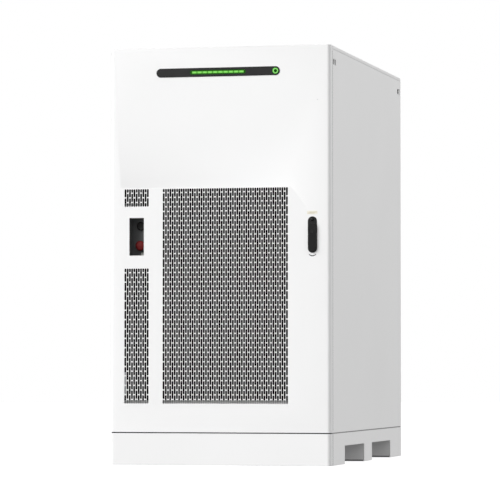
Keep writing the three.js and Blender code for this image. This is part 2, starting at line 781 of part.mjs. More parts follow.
function makeFans() {
  const y1 = depth - 1.5 - air;
  const y0 = y1 - fan.depth;
  const half = fan.size / 2;
  fanCentres().forEach((x, index) => {
    const name = index ? "right" : "left";
    const spokes = [0, 1, 2, 3].map((k) =>
      new THREE.BoxGeometry(fan.size - fan.rim, spoke.deep, spoke.wide)
        .rotateY((k * Math.PI) / 4)
        .translate(x, y0 + spoke.deep / 2, fan.z),
    );
    const housing = solid(block(x - half, x + half, y0, y1, fan.z - half, fan.z + half))
      .subtract(solid(barY(x, fan.z, half - fan.rim, y0 - past, y1 + past, 40)));
    const motorPlate = barY(x, fan.z, fan.motor, y0, y0 + spoke.deep, 28);
    const frameShape = [...spokes, motorPlate].reduce((all, part) => all.add(solid(part)), housing);
    piece(`fan_frame_${name}`, geometryOf(frameShape), black);

    const blades = [];
    for (let k = 0; k < blade.count; k++) {
      const one = new THREE.BoxGeometry(blade.long, blade.thick, blade.wide)
        .rotateX(blade.twist)
        .translate(blade.radius, 0, 0);
      blades.push(one.rotateY((k * 2 * Math.PI) / blade.count).translate(x, y0 + blade.y, fan.z));
    }
    const hubBar = barY(x, fan.z, fan.hub, y0 + fan.rotorFront, y0 + fan.rotorBack, 28);
    const rotor = carve([hubBar, ...blades]);
    piece(`fan_rotor_${name}`, rotor, graphite);
  });
}

// ---------------------------------------------------------------- the whole cabinet

makePlinth();
makeEnclosure();
makeDoor();
makeStatusBar();
makeHandle();
makeHinges();
makeRack();
makeControlBox();
makeBusbars();
makeFans();

cabinet.position.set(-width / 2, -(depth - handle.front) / 2, 0);
const batteryCabinet = new THREE.Group();
batteryCabinet.add(cabinet);

export default batteryCabinet;
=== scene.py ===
"""Looks of the free-standing battery cabinet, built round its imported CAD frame.

Shapes are laid out in cabinet millimetres: x from the left side, y from the front face of the door
towards the back, z from the floor. Finished pieces are in the row frame, in metres.
"""

import json
import math

import bmesh
import bpy
from mathutils import Matrix, Vector
from mathutils.geometry import delaunay_2d_cdt

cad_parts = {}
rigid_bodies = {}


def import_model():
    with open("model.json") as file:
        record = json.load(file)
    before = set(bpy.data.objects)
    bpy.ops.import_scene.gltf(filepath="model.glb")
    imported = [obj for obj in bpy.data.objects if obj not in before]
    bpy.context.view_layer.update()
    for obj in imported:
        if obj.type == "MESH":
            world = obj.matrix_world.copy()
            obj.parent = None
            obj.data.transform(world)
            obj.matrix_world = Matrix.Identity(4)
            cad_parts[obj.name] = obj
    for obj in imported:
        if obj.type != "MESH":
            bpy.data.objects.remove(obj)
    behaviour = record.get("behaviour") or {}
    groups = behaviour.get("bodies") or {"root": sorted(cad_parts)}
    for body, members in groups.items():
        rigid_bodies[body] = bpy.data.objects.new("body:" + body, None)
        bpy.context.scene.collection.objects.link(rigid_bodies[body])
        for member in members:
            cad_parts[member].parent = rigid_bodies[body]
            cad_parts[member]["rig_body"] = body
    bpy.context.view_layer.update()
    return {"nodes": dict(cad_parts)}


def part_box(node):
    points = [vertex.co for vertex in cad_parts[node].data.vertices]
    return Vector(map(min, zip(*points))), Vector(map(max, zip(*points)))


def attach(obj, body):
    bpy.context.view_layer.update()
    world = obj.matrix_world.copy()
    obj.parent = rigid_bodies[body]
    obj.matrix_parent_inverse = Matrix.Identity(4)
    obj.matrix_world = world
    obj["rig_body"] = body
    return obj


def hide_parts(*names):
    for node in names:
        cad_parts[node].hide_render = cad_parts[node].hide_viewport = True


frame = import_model()

MM = 0.001
DOOR_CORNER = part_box("door_panel")[0]
TO_ROW = Matrix.Translation((DOOR_CORNER.x, DOOR_CORNER.y, 0)) @ Matrix.Scale(MM, 4)
TO_CABINET = TO_ROW.inverted()


# ---------------------------------------------------------------- driving dimensions, millimetres

SHEET = 1.5
SHARP = math.radians(32)  # edges between faces at a larger angle are crisp, or rounded by a bevel
FLAT = math.radians(0.5)  # faces at a smaller angle become one

DOOR_RADIUS = 10.5
DOOR_FLANGE = 22.0
HINGE_FLANGE = 36.0
HINGE_NOTCH = (2.0, 28.8, 32.0)  # from x, to x, half height
WINDOW_RIM = 2.0  # how far a fitting covers the door round its opening
BAR_RIM = 1.5
HANDLE_RIM = 1.2
PIN_HOLE = (565.0, 961.0, 1.25)  # x, z and radius of the small hole above the handle
DISH_RADIUS = 12.4
DISH_WIDE = 1.5
DISH_RISE = 3.2

SLOT_WIDE = 5.25
SLOT_ROW = 24.9
SLOT_WEB = 1.9
SLOT_PHASE = 708.3  # height of one web in the columns that end in a whole slot at the top
BLOCKS = [  # x of the first column, columns, pitch, lowest z, highest z, whether the first is whole
    (42.2, 11, 6.14, 684.3, 731.3, True),
    (42.2, 11, 6.14, 161.4, 520.4, True),
    (147.4, 56, 6.09, 161.4, 731.3, False),
]
PAD_Y = (4.2, 9.0)  # front and back of the dust pads, whose near-black is painted shade behind the slots
PAD_MARGIN = 5.0  # how far they reach past the first and last columns
PAD_TOP = 4.0  # how far they reach past the top of a field
PAD_CLEAR = 9.0  # height of the strip that they leave open along its bottom

PRESSING = {
    "left": 29.4,
    "right": 492.0,
    "top": 916.0,
    "bottom": 733.0,
    "lip": 3.0,  # width of the slope at the left and right
    "ledge": 0.4,  # height of the step at the bottom
    "deep": 0.9,
    "fade": 1.6,  # power of the height by which the depth fades to nothing at the top
    "rows": 14,
}

LED_COUNT = 10
LED_PITCH = 14.24
LED_WIDE = 13.3
LED_TALL = 5.8
LED_GAP = 0.2  # between a segment and the edge of its opening, and round the lens
LENS_MARGIN = {"ends": 10.0, "edges": 5.4}  # how much longer and taller the lens is than the segments
GLOW_RADIUS = 7.5
LATCH_PROUD = 1.9
LATCH_SHADE_CATCH = {"front": 11.0, "rear": 1.5}  # length of the dark catch, from front to back; its colour is painted shade of the latch recess


# ---------------------------------------------------------------- places taken from the frame


class Span:
    """The box of a CAD node, in cabinet millimetres."""

    def __init__(self, node):
        low, high = (TO_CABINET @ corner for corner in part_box(node))
        self.x0, self.y0, self.z0 = low
        self.x1, self.y1, self.z1 = high
        self.x, self.y, self.z = (low + high) / 2
        self.wide, _, self.tall = high - low


# ---------------------------------------------------------------- camera, light and floor


def make_camera():
    """A long lens, a little right of the front and just above the floor, tilted up."""
    data = bpy.data.cameras.new("camera")
    data.lens = 222.365
    data.sensor_width = 36
    data.clip_end = 100
    camera = bpy.data.objects.new("camera", data)
    camera.location = (1.9733, -8.39685, 0.2572)
    camera.rotation_euler = (math.radians(92.1804), 0, math.radians(13.4496))
    bpy.context.scene.collection.objects.link(camera)
    bpy.context.scene.camera = camera


BELOW, ABOVE = 0.18, 0.76  # strength of the studio's light from under the horizon, and from over it
HORIZON = 0.15  # half the height of the band where one turns into the other


def make_world():
    """A white background for the camera, and a softer light from all around for the objects."""
    world = bpy.data.worlds.new("studio")
    world.use_nodes = True
    nodes, links = world.node_tree.nodes, world.node_tree.links
    nodes.clear()
    seen = nodes.new("ShaderNodeBackground")
    seen.inputs["Color"].default_value = (1, 1, 1, 1)
    seen.inputs["Strength"].default_value = 1.0
    lit = nodes.new("ShaderNodeBackground")
    lit.inputs["Color"].default_value = (1, 1, 1, 1)
    direction = nodes.new("ShaderNodeTexCoord").outputs["Generated"]
    split = nodes.new("ShaderNodeSeparateXYZ")
    sky = nodes.new("ShaderNodeMapRange")
    sky.inputs["From Min"].default_value = -HORIZON
    sky.inputs["From Max"].default_value = HORIZON
    sky.inputs["To Min"].default_value = BELOW
    sky.inputs["To Max"].default_value = ABOVE
    links.new(direction, split.inputs[0])
    links.new(split.outputs["Z"], sky.inputs["Value"])
    links.new(sky.outputs["Result"], lit.inputs["Strength"])
    path = nodes.new("ShaderNodeLightPath")
    mix = nodes.new("ShaderNodeMixShader")
    out = nodes.new("ShaderNodeOutputWorld")
    links.new(path.outputs["Is Camera Ray"], mix.inputs[0])
    links.new(lit.outputs[0], mix.inputs[1])
    links.new(seen.outputs[0], mix.inputs[2])
    links.new(mix.outputs[0], out.inputs[0])
    bpy.context.scene.world = world
    bpy.context.scene.view_settings.view_transform = "Standard"


def add_sun(name, towards, energy, spread):
    """A sun that shines towards a direction, as wide as the spread in degrees."""
    data = bpy.data.lights.new(name, "SUN")
    data.energy = energy
    data.angle = math.radians(spread)
    lamp_object = bpy.data.objects.new(name, data)
    lamp_object.rotation_euler = Vector(towards).to_track_quat("-Z", "Y").to_euler()
    bpy.context.scene.collection.objects.link(lamp_object)


def make_lights():
    """A soft key from the front left and a weaker one from the right, behind."""
    add_sun("key", (0.62, 0.72, -0.36), 2.9, 55)
    add_sun("rim", (-0.76, -0.70, -0.34), 1.22, 25)


def make_floor():
    """A matt disc just under the plinth, which glows almost as bright as the background."""
    bm = bmesh.new()
    bmesh.ops.create_circle(bm, cap_ends=True, radius=14, segments=96)
    mesh = bpy.data.meshes.new("floor")
    bm.to_mesh(mesh)
    bm.free()
    floor = bpy.data.objects.new("floor", mesh)
    floor.location = (0, 0, -0.0004)
    bpy.context.scene.collection.objects.link(floor)
    material = bpy.data.materials.new("floor_white")
    material.use_nodes = True
    paint = material.node_tree.nodes["Principled BSDF"]
    paint.inputs["Base Color"].default_value = (0.3, 0.3, 0.3, 1)
    paint.inputs["Roughness"].default_value = 1.0
    paint.inputs["Specular IOR Level"].default_value = 0.0
    paint.inputs["Emission Color"].default_value = (1, 1, 1, 1)
    paint.inputs["Emission Strength"].default_value = 0.88
    mesh.materials.append(material)
    floor.visible_diffuse = False
    floor.visible_glossy = False


make_camera()
make_world()
make_lights()
make_floor()


# ---------------------------------------------------------------- materials


def grey(value):
    return (value, value, value)


class Recipe:
    """A Principled material whose parts are added one by one.

    Texture coordinates are the piece's own, in metres.
    """

    def __init__(self, name, roughness, metallic=0.0, specular=0.5):
        self.material = bpy.data.materials.new(name)
        self.material.use_nodes = True
        self.nodes = self.material.node_tree.nodes
        self.links = self.material.node_tree.links
        self.paint = self.nodes["Principled BSDF"]
        self.paint.inputs["Metallic"].default_value = metallic
        self.paint.inputs["Specular IOR Level"].default_value = specular
        self.paint.inputs["Roughness"].default_value = roughness
        self.coords = self.nodes.new("ShaderNodeTexCoord").outputs["Object"]
        self.height = None

    def noise(self, scale, detail=3.0, stretch=(1, 1, 1)):
        """Noise value; scale is in cycles per metre."""
        mapping = self.nodes.new("ShaderNodeMapping")
        mapping.inputs["Scale"].default_value = stretch
        texture = self.nodes.new("ShaderNodeTexNoise")
        texture.inputs["Scale"].default_value = scale
        texture.inputs["Detail"].default_value = detail
        self.links.new(self.coords, mapping.inputs["Vector"])
        self.links.new(mapping.outputs["Vector"], texture.inputs["Vector"])
        return texture.outputs["Fac"]

    def ramp(self, value, stops):
        """Colours along a value, from a list of (position, colour)."""
        ramp = self.nodes.new("ShaderNodeValToRGB")
        elements = ramp.color_ramp.elements
        while len(elements) < len(stops):
            elements.new(0.5)
        for element, (position, colour) in zip(elements, stops):
            element.position = position
            element.color = (*colour, 1)
        self.links.new(value, ramp.inputs["Fac"])
        return ramp.outputs["Color"]

    def colour(self, value, stops):
        """Base colour along a value."""
        self.links.new(self.ramp(value, stops), self.paint.inputs["Base Color"])

    def rough(self, value, low, high):
        """Roughness from low to high, along the values that noise mostly has."""
        node = self.nodes.new("ShaderNodeMapRange")
        node.inputs["From Min"].default_value = 0.3
        node.inputs["From Max"].default_value = 0.7
        node.inputs["To Min"].default_value = low
        node.inputs["To Max"].default_value = high
        self.links.new(value, node.inputs["Value"])
        self.links.new(node.outputs["Result"], self.paint.inputs["Roughness"])

    def bump(self, value, strength, distance):
        """Bumps of a height in metres, on top of those that are there."""
        node = self.nodes.new("ShaderNodeBump")
        node.inputs["Strength"].default_value = strength
        node.inputs["Distance"].default_value = distance
        self.links.new(value, node.inputs["Height"])
        if self.height is not None:
            self.links.new(self.height, node.inputs["Normal"])
        self.height = node.outputs["Normal"]
        self.links.new(self.height, self.paint.inputs["Normal"])


def powder_coat(name, light, dark, roughness):
    """Sprayed and baked paint: fine orange peel and hardly visible patches."""
    recipe = Recipe(name, roughness, specular=0.3)
    patches = recipe.noise(3.5, 4)
    peel = recipe.noise(620, 2)
    recipe.colour(patches, [(0.3, grey(dark)), (0.7, grey(light))])
    recipe.rough(peel, roughness - 0.06, roughness + 0.08)
    recipe.bump(peel, 0.22, 0.00006)
    recipe.bump(recipe.noise(95, 2), 0.05, 0.0002)
    return recipe.material


def plastic(name, light, dark, roughness, specular=0.25, grain=2400):
    """Moulded plastic with a spark-eroded grain."""
    recipe = Recipe(name, roughness, specular=specular)
    patches = recipe.noise(22, 3)
    texture = recipe.noise(grain, 2)
    recipe.colour(patches, [(0.3, dark), (0.7, light)])
    recipe.rough(texture, roughness - 0.07, roughness + 0.1)
    recipe.bump(texture, 0.3, 0.00004)
    return recipe.material


def metal(name, light, dark, roughness, stretch=(1, 1, 1)):
    """Bare or plated metal with dull patches and marks, which a stretch draws out along one axis."""
    recipe = Recipe(name, roughness, metallic=1.0)
    patches = recipe.noise(34, 5)
    marks = recipe.noise(420, 3, stretch)
    recipe.colour(patches, [(0.25, dark), (0.75, light)])
    recipe.rough(patches, roughness - 0.08, roughness + 0.12)
    recipe.bump(marks, 0.18, 0.00005)
    return recipe.material


def add_glow(recipe, centre, edge):
    """Emission with one colour in the middle of the piece's front and another towards its edges."""
    mapping = recipe.nodes.new("ShaderNodeMapping")
    mapping.vector_type = "POINT"
    mapping.inputs["Location"].default_value = (-1, 0, -1)
    mapping.inputs["Scale"].default_value = (2, 0, 2)
    generated = recipe.nodes.new("ShaderNodeTexCoord").outputs["Generated"]
    recipe.links.new(generated, mapping.inputs["Vector"])
    ball = recipe.nodes.new("ShaderNodeTexGradient")
    ball.gradient_type = "SPHERICAL"
    recipe.links.new(mapping.outputs["Vector"], ball.inputs["Vector"])
    colours = recipe.ramp(ball.outputs["Fac"], [(0.0, edge), (0.55, centre)])
    recipe.links.new(colours, recipe.paint.inputs["Emission Color"])


def lamp(name, strength, base, centre, edge=None, specular=0.3):
    """A lit diffuser over a dark base: of one colour, or of another towards its edges."""
    recipe = Recipe(name, 0.35, specular=specular)
    if edge:
        add_glow(recipe, centre, edge)
    else:
        recipe.paint.inputs["Emission Color"].default_value = (*centre, 1)
    recipe.paint.inputs["Emission Strength"].default_value = strength
    recipe.paint.inputs["Base Color"].default_value = (*base, 1)
    recipe.bump(recipe.noise(900, 2), 0.1, 0.00004)
    return recipe.material


WHITE = powder_coat("white_powder_coat", 0.83, 0.815, 0.42)
INNER_WHITE = powder_coat("inner_frame_paint", 0.72, 0.70, 0.5)

BLACK = plastic("black_plastic", grey(0.012), grey(0.008), 0.40, 0.16)
BAR_BLACK = plastic("status_bar_black", grey(0.017), grey(0.013), 0.36, 0.16)
HANDLE = plastic("handle_black", grey(0.006), grey(0.004), 0.33, 0.17, 1500)
BEZEL = plastic("window_bezel", grey(0.13), grey(0.11), 0.5, 0.16)
MODULE = plastic("module_black", grey(0.011), grey(0.007), 0.5, 0.12, 900)
CONTROL = plastic("control_grey", (0.22, 0.225, 0.23), (0.18, 0.184, 0.188), 0.5, 0.2)
RED = plastic("signal_red", (0.25, 0.026, 0.026), (0.19, 0.018, 0.018), 0.5, 0.16)
LEGEND = plastic("legend_plate", (0.78, 0.79, 0.74), (0.72, 0.73, 0.68), 0.4)
LABEL = plastic("plain_label", (0.80, 0.78, 0.70), (0.77, 0.74, 0.66), 0.5)
STRIPE = plastic("label_stripe", (0.42, 0.36, 0.18), (0.36, 0.31, 0.15), 0.5)

RUBBER = plastic("gasket_rubber", grey(0.02), grey(0.012), 0.78, 0.2, 1400)
# grey of the base seal: painted shade of the gap it fills
GAP_SHADE_SEAL = plastic("base_gap_shade_seal", grey(0.30), grey(0.26), 0.7, 0.2, 900)
# grey of the cover felt: painted shade of the joint under the top cover
GAP_SHADE_FELT = plastic("cover_gap_shade_seal", grey(0.55), grey(0.5), 0.7, 0.2, 900)
# near-black foam: painted shade of the cabinet's inside, seen through the door's slots
SHADE_FOAM = plastic("filter_foam_shade", grey(0.006), grey(0.004), 0.85, 0.03, 700)

ZINC = metal("zinc_plate", (0.62, 0.63, 0.65), (0.48, 0.49, 0.50), 0.38, (1, 1, 0.15))
STEEL = metal("screw_zinc", (0.60, 0.61, 0.62), (0.45, 0.45, 0.46), 0.34)
KEY_METAL = metal("key_metal", grey(0.035), grey(0.022), 0.4)
COPPER = metal("busbar_copper", (0.72, 0.34, 0.20), (0.50, 0.21, 0.12), 0.34, (1, 1, 0.1))

LIT_GREEN = lamp("lit_green", 1.03, (0.01, 0.05, 0.005), (0.25, 0.70, 0.14), (0.15, 0.52, 0.07), 0.1)
RING_GREEN = lamp("ring_green", 0.95, (0.02, 0.09, 0.01), (0.26, 0.74, 0.16))
DARK_GREEN = lamp("dark_green", 0.9, (0.001, 0.004, 0.001), (0.003, 0.105, 0), (0.002, 0.085, 0), 0.03)
# the lens's emission is a painted halo of the lit segments' light
LENS_HALO = lamp("led_lens_halo_glow", 0.7, (0.002, 0.006, 0.001), (0.012, 0.16, 0), (0.009, 0.12, 0), 0.05)


# ---------------------------------------------------------------- mesh building, in millimetres

# How a point in a section's plane (u, v) and a distance w along an axis become x, y and z.
AXES = {
    "y": lambda u, v, w: (u, w, v),
    "z": lambda u, v, w: (u, v, w),
}


def arc(cu, cv, radius, start, end, steps):
    """Points along an arc, angles in degrees."""
    angles = [math.radians(start + (end - start) * k / steps) for k in range(steps + 1)]
    return [(cu + radius * math.cos(a), cv + radius * math.sin(a)) for a in angles]


def circle(cu, cv, radius, steps):
    return arc(cu, cv, radius, 0, 360, steps)[:-1]


def stadium(cu, cv, wide, tall, steps):
    """A rectangle with round ends."""
    r = min(wide, tall) / 2
    du, dv = wide / 2 - r, tall / 2 - r
    if wide > tall:
        return arc(cu + du, cv, r, -90, 90, steps) + arc(cu - du, cv, r, 90, 270, steps)
    return arc(cu, cv + dv, r, 0, 180, steps) + arc(cu, cv - dv, r, 180, 360, steps)


def rectangle(u0, u1, v0, v1, radius=0.0, steps=4):
    """A rectangle, with round corners if it has a radius."""
    if not radius:
        return [(u0, v0), (u1, v0), (u1, v1), (u0, v1)]
    corners = [(u1 - radius, v0 + radius, -90), (u1 - radius, v1 - radius, 0)]
    corners += [(u0 + radius, v1 - radius, 90), (u0 + radius, v0 + radius, 180)]
    return [p for cu, cv, a in corners for p in arc(cu, cv, radius, a, a + 90, steps)]


def filled(loops, lines=()):
    """Points and triangles that cover the first outline less the others; lines stay edges."""
    points, faces, edges = [], [], []
    for loop in loops:
        faces.append(list(range(len(points), len(points) + len(loop))))
        points.extend(Vector(p) for p in loop)
    for line in lines:
        first = len(points)
        points.extend(Vector(p) for p in line)
        edges.extend((k, k + 1) for k in range(first, len(points) - 1))
    result = delaunay_2d_cdt(points, edges, faces, 0, 1e-5)
    triangles = [t for t, sources in zip(result[2], result[5]) if list(sources) == [0]]
    return result[0], triangles


def add_prism(bm, axis, loops, low, high):
    """Solid between two values along an axis, with the first outline and the others as holes."""
    points, triangles = filled(loops)
    place = AXES[axis]
    bottom = [bm.verts.new(place(p.x, p.y, low)) for p in points]
    top = [bm.verts.new(place(p.x, p.y, high)) for p in points]
    open_edges = {}
    for t in triangles:
        bm.faces.new([bottom[k] for k in t])
        bm.faces.new([top[k] for k in reversed(t)])
        for a, b in zip(t, [*t[1:], t[0]]):
            if (b, a) in open_edges:
                del open_edges[b, a]
            else:
                open_edges[a, b] = True
    for a, b in open_edges:
        bm.faces.new([bottom[b], bottom[a], top[a], top[b]])


def add_box(bm, x0, x1, y0, y1, z0, z1):
    add_prism(bm, "z", [rectangle(x0, x1, y0, y1)], z0, z1)


def add_lathe(bm, x, z, profile, steps):
    """Solid turned about an axis from front to back.

    The (radius, y) points of its profile start and end on the axis, or close on themselves.
    """
    rings = []
    for radius, y in profile:
        if radius == 0:
            rings.append([bm.verts.new((x, y, z))])
        else:
            rings.append([bm.verts.new((u, y, v)) for u, v in circle(x, z, radius, steps)])
    for one, two in zip(rings, rings[1:]):
        for k in range(steps):
            n = (k + 1) % steps
            corners = [one[k % len(one)], one[n % len(one)], two[n % len(two)], two[k % len(two)]]
            bm.faces.new(list(dict.fromkeys(corners)))


def add_tube(bm, points, radius, sides, closed=False):
    """Round bar along a line of points."""
    points = [Vector(p) for p in points]
    count = len(points)
    rings = []
    side = None
    for k, point in enumerate(points):
        before = points[k - 1] if k or closed else point
        after = points[(k + 1) % count] if k < count - 1 or closed else point
        along = (after - before).normalized()
        if side is None:
            side = along.orthogonal().normalized()
        side = (side - along * side.dot(along)).normalized()
        other = along.cross(side)
        section = circle(0, 0, radius, sides)
        rings.append([bm.verts.new(point + side * u + other * v) for u, v in section])
    for k in range(count if closed else count - 1):
        one, two = rings[k], rings[(k + 1) % count]
        for s in range(sides):
            n = (s + 1) % sides
            bm.faces.new([one[s], one[n], two[n], two[s]])
    if not closed:
        bm.faces.new(reversed(rings[0]))
        bm.faces.new(rings[-1])


# Radius and height of the points of a screw head's outline, as shares of the head's radius.
SCREW_HEAD = [(1, 0), (1, 0.18), (0.86, 0.42), (0.62, 0.56), (0.44, 0.58), (0.38, 0.2)]


def add_screw(bm, x, z, face, radius):
    """Pan-head screw with a round socket, on a face that looks forwards."""
    profile = [(share * radius, face - rise * radius) for share, rise in SCREW_HEAD]
    profile = [(0, face), *profile, (0, profile[-1][1])]
    add_lathe(bm, x, z, profile, 16)


def finish_piece(
    name, bm, material, body, slot, replaces=(), bevel=0.0, segments=2, matrix=TO_ROW, merge=True
):
    """Makes a piece from a mesh that the matrix takes to the row frame. The bevel is in millimetres."""
    near = 1e-4 if matrix is TO_ROW else 1e-6  # millimetres, or metres in a copy of a CAD node
    bmesh.ops.remove_doubles(bm, verts=bm.verts, dist=near)
    loose = [v for v in bm.verts if not v.link_faces]
    bmesh.ops.delete(bm, geom=loose, context="VERTS")
    if merge:
        bmesh.ops.dissolve_limit(bm, angle_limit=FLAT, verts=bm.verts, edges=bm.edges)
    bmesh.ops.recalc_face_normals(bm, faces=bm.faces)
    bm.transform(matrix)
    mesh = bpy.data.meshes.new(name)
    bm.to_mesh(mesh)
    bm.free()
    mesh.materials.append(material)
    mesh.shade_smooth()
    piece = bpy.data.objects.new(name, mesh)
    bpy.context.scene.collection.objects.link(piece)
    if bevel:
        modifier = piece.modifiers.new("edges", "BEVEL")
        modifier.width = bevel * MM
        modifier.segments = segments
        modifier.limit_method = "ANGLE"
        modifier.angle_limit = SHARP
        weighted = piece.modifiers.new("flat_faces", "WEIGHTED_NORMAL")
        weighted.mode = "FACE_AREA"
        weighted.weight = 100
    else:
        mesh.set_sharp_from_angle(angle=SHARP)
    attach(piece, body)
    if replaces:
        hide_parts(*replaces)
    return piece


def refined(node, material, slot, bevel, segments=2):
    """A copy of a CAD node with its edges rounded, which stands for it."""
    source = frame["nodes"][node]
    body, place = source["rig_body"], Matrix.Identity(4)
    bm = bmesh.new()
    bm.from_mesh(source.data)
    finish_piece(node + "_finished", bm, material, body, slot, [node], bevel, segments, place)


# ---------------------------------------------------------------- door skin


def slot_outlines():
    """Outlines of the ventilation slots; neighbouring columns are half a row apart.

    A field cuts its first and last slots short, and leaves out those that are hardly longer than wide.
    """
    outlines = []
    shortest = SLOT_WIDE + 1
    for first, columns, pitch, low, high, whole in BLOCKS:
        for k in range(columns):
            shift = 0 if (k % 2 == 0) == whole else SLOT_ROW / 2
            web = SLOT_PHASE + shift + SLOT_ROW * math.ceil((high - SLOT_PHASE - shift) / SLOT_ROW)
            while web > low:
                z1 = min(web - SLOT_WEB / 2, high)
                z0 = max(web - SLOT_ROW + SLOT_WEB / 2, low)
                if z1 - z0 > shortest:
                    outlines.append(stadium(first + k * pitch, (z0 + z1) / 2, SLOT_WIDE, z1 - z0, 5))
                web -= SLOT_ROW
    return outlines


def pressing_depth(x, z):
    """How far the front sheet is pressed in: a ramp that deepens towards the ventilation slots."""
    p = PRESSING
    if not (p["left"] < x < p["right"] and p["bottom"] < z < p["top"]):
        return 0.0
    edge = min((x - p["left"]) / p["lip"], (p["right"] - x) / p["lip"], 1.0)
    start = p["bottom"] + p["ledge"]
    if z < start:
        down = (z - p["bottom"]) / p["ledge"]
    else:
        down = ((p["top"] - z) / (p["top"] - start)) ** p["fade"]
    return p["deep"] * edge * down


def pressing_lines():
    """Lines of points that give the sheet its edges where the pressing bends it."""
    p = PRESSING
    xs = [p["left"], p["left"] + p["lip"], p["right"] - p["lip"], p["right"]]
    start = p["bottom"] + p["ledge"]
    rows = p["rows"]
    zs = [p["bottom"]] + [start + (p["top"] - start) * k / rows for k in range(rows + 1)]
    lines = [[(x, p["bottom"]), (x, p["top"])] for x in xs]
    return lines + [[(p["left"], z), (p["right"], z)] for z in zs]


def crescent(cx, cz, radius, wide):
    """Lower crescent of a round finger dish, cut through the sheet so that the black plate behind shows
    as painted shade of its lip; its inner arc is higher up, and a little shorter.
    """
    lift, start, end, trim, steps = 1.6, 218, 322, 2, 10
    outer = arc(cx, cz, radius, start, end, steps)
    inner = arc(cx, cz + lift, radius - wide + lift * 0.45, end - trim, start + trim, steps)
    return outer + inner


def add_sheet(bm, loops, place, lines=()):
    """Sheet inside the first outline, less the others; place turns its points into x, y and z."""
    points, triangles = filled(loops, lines)
    corners = [bm.verts.new(place(p.x, p.y)) for p in points]
    for t in triangles:
        bm.faces.new([corners[k] for k in t])


def front_openings():
    """Outlines of everything that is cut out of the front of the door."""
    window, bar, handle = Span("window_bezel"), Span("status_bar_bezel"), Span("handle_base")
    rim = WINDOW_RIM
    openings = slot_outlines()
    openings.append(rectangle(window.x0 + rim, window.x1 - rim, window.z0 + rim, window.z1 - rim, 1.0))
    rim = 2 * BAR_RIM
    openings.append(stadium(bar.x, bar.z, bar.wide - rim, bar.tall - rim, 12))
    rim = 2 * HANDLE_RIM
    openings.append(stadium(handle.x, handle.z, handle.wide - rim, handle.tall - rim, 12))
    openings.append(crescent(handle.x, handle.z0 + DISH_RISE, DISH_RADIUS, DISH_WIDE))
    openings.append(circle(*PIN_HOLE, 12))
    return openings


def back_openings():
    """Outlines of the opening between the flanges at the back, and of the notches for the hinges."""
    door = Span("door_panel")
    low, high = door.z0 + DOOR_FLANGE, door.z1 - DOOR_FLANGE
    notch_from, notch_to, half = HINGE_NOTCH
    openings = [rectangle(HINGE_FLANGE, door.x1 - DOOR_FLANGE, low, high)]
    for node in ("hinge_pin_lower", "hinge_pin_upper"):
        z = Span(node).z
        openings.append(rectangle(notch_from, notch_to, z - half, z + half))
    return openings


def make_door_skin():
    """Folded sheet: front, two sides with their round edges, two ends, and flanges at the back."""
    door = Span("door_panel")
    z0, z1, wide, deep, r = door.z0, door.z1, door.x1, door.y1, DOOR_RADIUS
    bm = bmesh.new()
    front = [rectangle(r, wide - r, z0, z1), *front_openings()]
    add_sheet(bm, front, lambda x, z: (x, pressing_depth(x, z), z), pressing_lines())

    steps = 8
    rounding = arc(r, r, r, 180, 270, steps)
    for mirror in (False, True):
        section = [(wide - x if mirror else x, y) for x, y in [(0, deep), *rounding]]
        low = [bm.verts.new((x, y, z0)) for x, y in section]
        high = [bm.verts.new((x, y, z1)) for x, y in section]
        for k in range(len(section) - 1):
            bm.faces.new([low[k], low[k + 1], high[k + 1], high[k]])

    outline = [(0, deep)] + rounding + arc(wide - r, r, r, 270, 360, steps) + [(wide, deep)]
    for z in (z0, z1):
        bm.faces.new([bm.verts.new((x, y, z)) for x, y in outline])

    add_sheet(bm, [rectangle(0, wide, z0, z1), *back_openings()], lambda x, z: (x, deep, z))
    skin = finish_piece("door_skin", bm, WHITE, "door", "white_powder_coat", ["door_panel"], merge=False)
    thicken(skin, SHEET)


def thicken(piece, thickness):
    """Gives a sheet its thickness, inwards, and applies it."""
    modifier = piece.modifiers.new("thickness", "SOLIDIFY")
    modifier.thickness = thickness * MM
    modifier.offset = -1
    modifier.use_even_offset = True
    graph = bpy.context.evaluated_depsgraph_get()
    mesh = bpy.data.meshes.new_from_object(piece.evaluated_get(graph))
    piece.modifiers.clear()
    piece.data = mesh
    mesh.shade_smooth()
    mesh.set_sharp_from_angle(angle=SHARP)


make_door_skin()


# ---------------------------------------------------------------- door fittings


def plate_piece(name, loops, y0, y1, *look, **more):
    """A flat piece that looks forwards: the first outline less the others, from y0 to y1."""
    bm = bmesh.new()
    add_prism(bm, "y", loops, y0, y1)
    finish_piece(name, bm, *look, **more)


def turned_piece(name, x, z, profile, steps, *look):
    """A piece turned about an axis that runs from front to back."""
    bm = bmesh.new()
    add_lathe(bm, x, z, profile, steps)
    finish_piece(name, bm, *look)


def segment_places():
    first = Span("led_light_guide").x - (LED_COUNT - 1) / 2 * LED_PITCH
    return [first + k * LED_PITCH for k in range(LED_COUNT)]


def segment_outline(x, z, gap, radius):
    """A lit segment, or without a gap its opening in the lens."""
    half_wide, half_tall = LED_WIDE / 2 - gap, LED_TALL / 2 - gap
    return rectangle(x - half_wide, x + half_wide, z - half_tall, z + half_tall, radius, 3)


def lens_outline(gap):
    """The lens, or without a gap its opening in the status bar."""
    wide = LED_COUNT * LED_PITCH + LENS_MARGIN["ends"] - 2 * gap
    tall = LED_TALL + LENS_MARGIN["edges"] - 2 * gap
    return stadium(Span("led_light_guide").x, Span("status_bar_bezel").z, wide, tall, 12)


